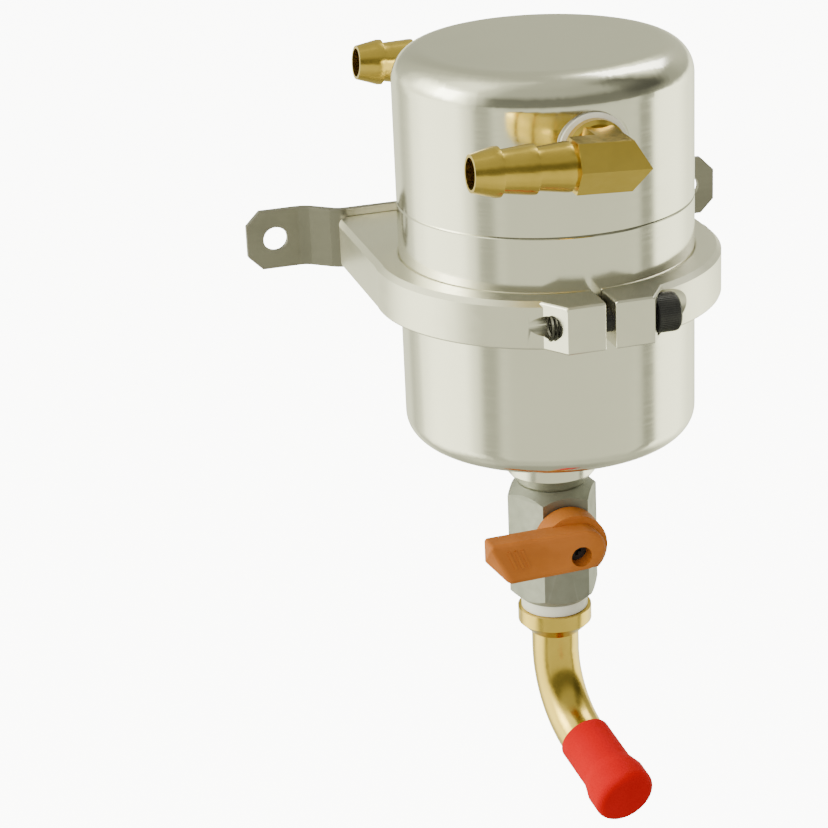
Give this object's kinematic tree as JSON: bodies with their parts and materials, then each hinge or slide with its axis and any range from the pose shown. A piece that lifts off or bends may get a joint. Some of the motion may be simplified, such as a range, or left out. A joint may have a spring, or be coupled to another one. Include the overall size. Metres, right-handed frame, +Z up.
{
  "type": "oil catch can",
  "caption": "Polished aluminium oil catch can with two brass hose elbows, a split clamp on a steel strap, a drain valve with an orange lever and a capped drain tube.",
  "frame": {"origin": "centre of the two ear holes, on the strap's back face", "axes": "+X along the strap, +Y into the panel behind the strap, +Z up along the can"},
  "size_m": [0.1414, 0.1218, 0.2135],
  "materials": {
    "polished_aluminium": "satin",
    "clamp_aluminium": "satin",
    "stainless_strap": "brushed",
    "bright_steel": "polished",
    "black_steel": "satin",
    "yellow_brass": "satin",
    "nickel_plate": "satin",
    "white_washer": "matte",
    "white_seat": "matte",
    "black_rubber": "matte",
    "orange_plastic": "satin",
    "red_vinyl": "glossy",
    "steel_mesh": "woven"
  },
  "bodies": {
    "bracket": {"bracket_strap": "stainless_strap", "strap_screws": "bright_steel", "clamp_ring": "clamp_aluminium", "clamp_screw": "black_steel"},
    "can": {"can_body": "polished_aluminium", "baffle_plate": "clamp_aluminium", "mesh_pad": "steel_mesh", "valve_body": "nickel_plate", "upper_seat": "white_seat", "lower_seat": "white_seat", "valve_retainer": "nickel_plate", "drain_washer": "white_washer", "drain_elbow": "yellow_brass"},
    "lid_seal": {"lid_o_ring": "black_rubber"},
    "lid": {"can_lid": "polished_aluminium", "inlet_elbow": "yellow_brass", "inlet_washer": "white_washer", "outlet_elbow": "yellow_brass", "outlet_washer": "white_washer"},
    "valve_core": {"valve_ball": "bright_steel", "valve_stem": "yellow_brass", "stem_o_ring": "black_rubber", "valve_handle": "orange_plastic", "handle_screw": "bright_steel"},
    "cap": {"drain_cap": "red_vinyl"}
  },
  "joints": [
    {"name": "can_turn", "type": "hinge", "parent": "bracket", "child": "can", "pos_m": [0, -0.056, 0], "axis": [0, 0, 1], "continuous": true},
    {"name": "lid_rise", "type": "slide", "parent": "can", "child": "lid_seal", "axis": [0, 0, 1], "range_m": [0, 0.008]},
    {"name": "lid_turn", "type": "hinge", "parent": "lid_seal", "child": "lid", "pos_m": [0, -0.056, 0.0208], "axis": [0, 0, 1], "range_deg": [0, 1440]},
    {"name": "valve_turn", "type": "hinge", "parent": "can", "child": "valve_core", "pos_m": [0, -0.056, -0.07555], "axis": [0, -1, 0], "range_deg": [0, 90]},
    {"name": "cap_slide", "type": "slide", "parent": "can", "child": "cap", "axis": [0.1471, -0.9499, -0.2756], "range_m": [0, 0.021]}
  ],
  "couplings": [
    {"joint": "lid_rise", "follows": "lid_turn", "m_per_rad": 0.00031831}
  ]
}
